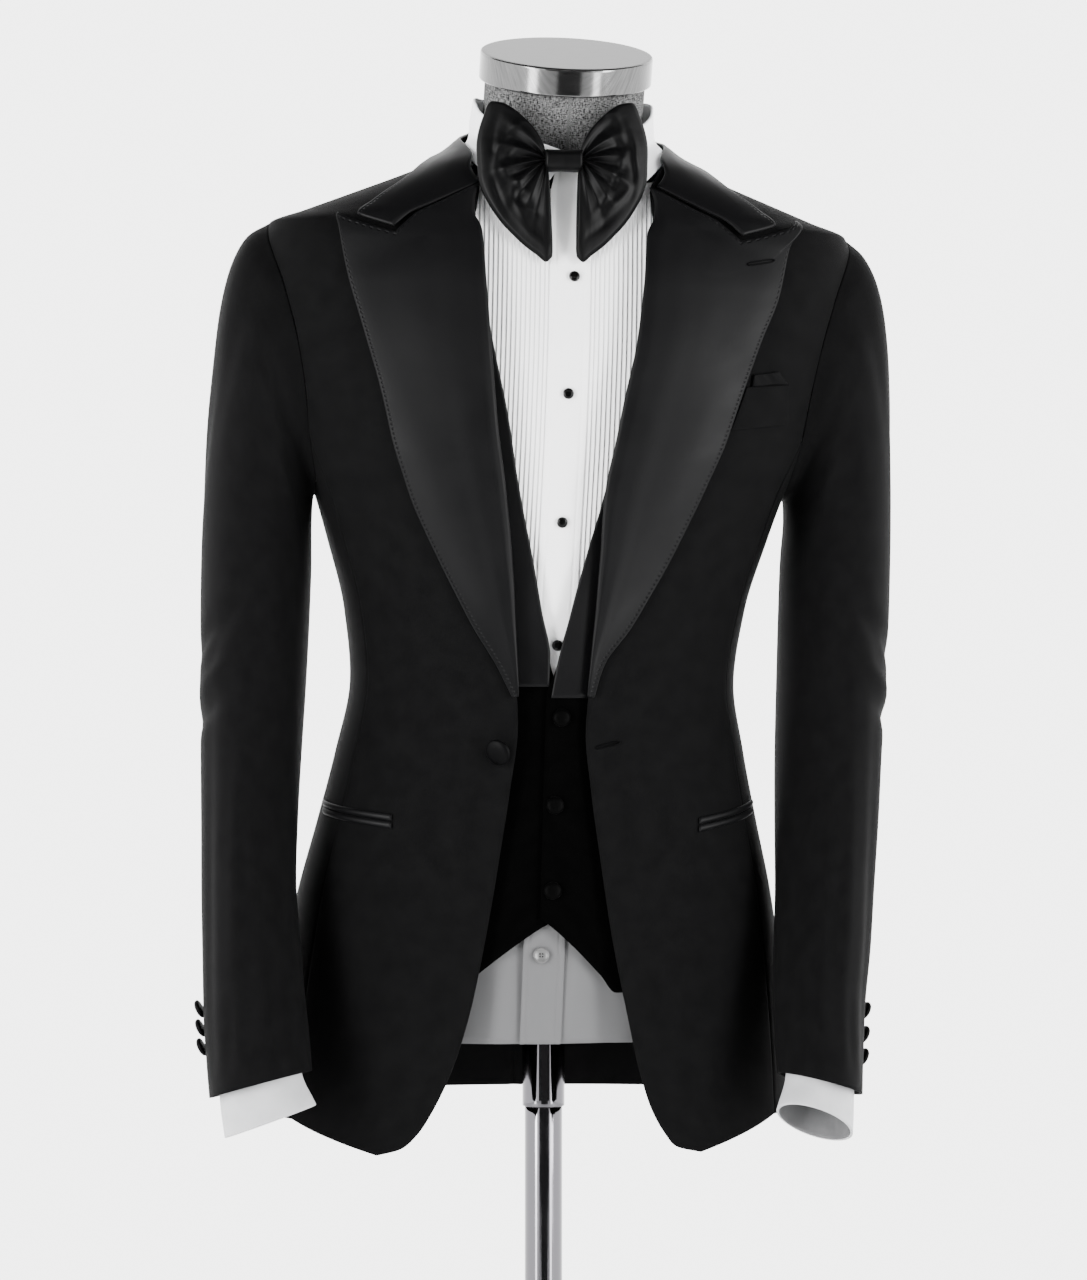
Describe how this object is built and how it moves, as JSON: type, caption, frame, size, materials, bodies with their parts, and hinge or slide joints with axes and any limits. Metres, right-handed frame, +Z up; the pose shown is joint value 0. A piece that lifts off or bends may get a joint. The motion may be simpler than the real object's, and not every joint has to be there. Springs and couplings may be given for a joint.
{
  "type": "tuxedo on a dress form",
  "caption": "Evening suit of peak-lapel jacket, pointed waistcoat, tucked shirt and butterfly bow tie, worn open-fronted on a limbless dress form on a round plate stand.",
  "frame": {"origin": "centre of the base plate's underside, on the pole's axis", "axes": "+Z up the pole, -Y the garment's front, +X towards the wearer's left side"},
  "size_m": [0.5412, 0.32, 1.6453],
  "materials": {
    "jacket_wool": "black wool, fine matt weave",
    "satin": "black silk satin with a broad sheen",
    "waistcoat_wool": "black wool, matt",
    "covered_button": "satin-covered dome",
    "shirt_cotton": "white cotton, fine plain weave",
    "shirt_button": "white shirt button",
    "stud_black": "polished black face in a thin bright rim",
    "form_linen": "grey heathered linen, plain weave",
    "cap_steel": "polished edge, brushed top",
    "stand_chrome": "polished"
  },
  "bodies": {
    "root": {"bow_band": "satin", "bow_knot": "satin", "bow_wing_left": "satin", "bow_wing_right": "satin", "breast_welt": "jacket_wool", "cuff_button_left_1": "covered_button", "cuff_button_left_2": "covered_button", "cuff_button_left_3": "covered_button", "cuff_button_right_1": "covered_button", "cuff_button_right_2": "covered_button", "cuff_button_right_3": "covered_button", "form_torso": "form_linen", "jacket_back_left": "jacket_wool", "jacket_back_right": "jacket_wool", "jacket_button": "covered_button", "jacket_collar": "satin", "jacket_front_left": "jacket_wool", "jacket_front_right": "jacket_wool", "jacket_side_left": "jacket_wool", "jacket_side_right": "jacket_wool", "lapel_left": "satin", "lapel_right": "satin", "neck_cap": "cap_steel", "pocket_jet_left_lower": "satin", "pocket_jet_left_upper": "satin", "pocket_jet_right_lower": "satin", "pocket_jet_right_upper": "satin", "pocket_square": "satin", "shirt_back": "shirt_cotton", "shirt_bib_left": "shirt_cotton", "shirt_bib_right": "shirt_cotton", "shirt_button": "shirt_button", "shirt_collar": "shirt_cotton", "shirt_collar_stand": "shirt_cotton", "shirt_cuff_left": "shirt_cotton", "shirt_cuff_right": "shirt_cotton", "shirt_front_left": "shirt_cotton", "shirt_front_right": "shirt_cotton", "shirt_placket": "shirt_cotton", "shirt_sleeve_left": "shirt_cotton", "shirt_sleeve_right": "shirt_cotton", "shirt_stud_1": "stud_black", "shirt_stud_2": "stud_black", "shirt_stud_3": "stud_black", "shirt_stud_4": "stud_black", "sleeve_left_top": "jacket_wool", "sleeve_left_under": "jacket_wool", "sleeve_right_top": "jacket_wool", "sleeve_right_under": "jacket_wool", "stand_base": "stand_chrome", "stand_pole": "stand_chrome", "stand_sleeve_tube": "stand_chrome", "waistcoat_back": "waistcoat_wool", "waistcoat_button_1": "covered_button", "waistcoat_button_2": "covered_button", "waistcoat_button_3": "covered_button", "waistcoat_front_left": "waistcoat_wool", "waistcoat_front_right": "waistcoat_wool", "waistcoat_lapel_left": "satin", "waistcoat_lapel_right": "satin"}
  },
  "joints": []
}
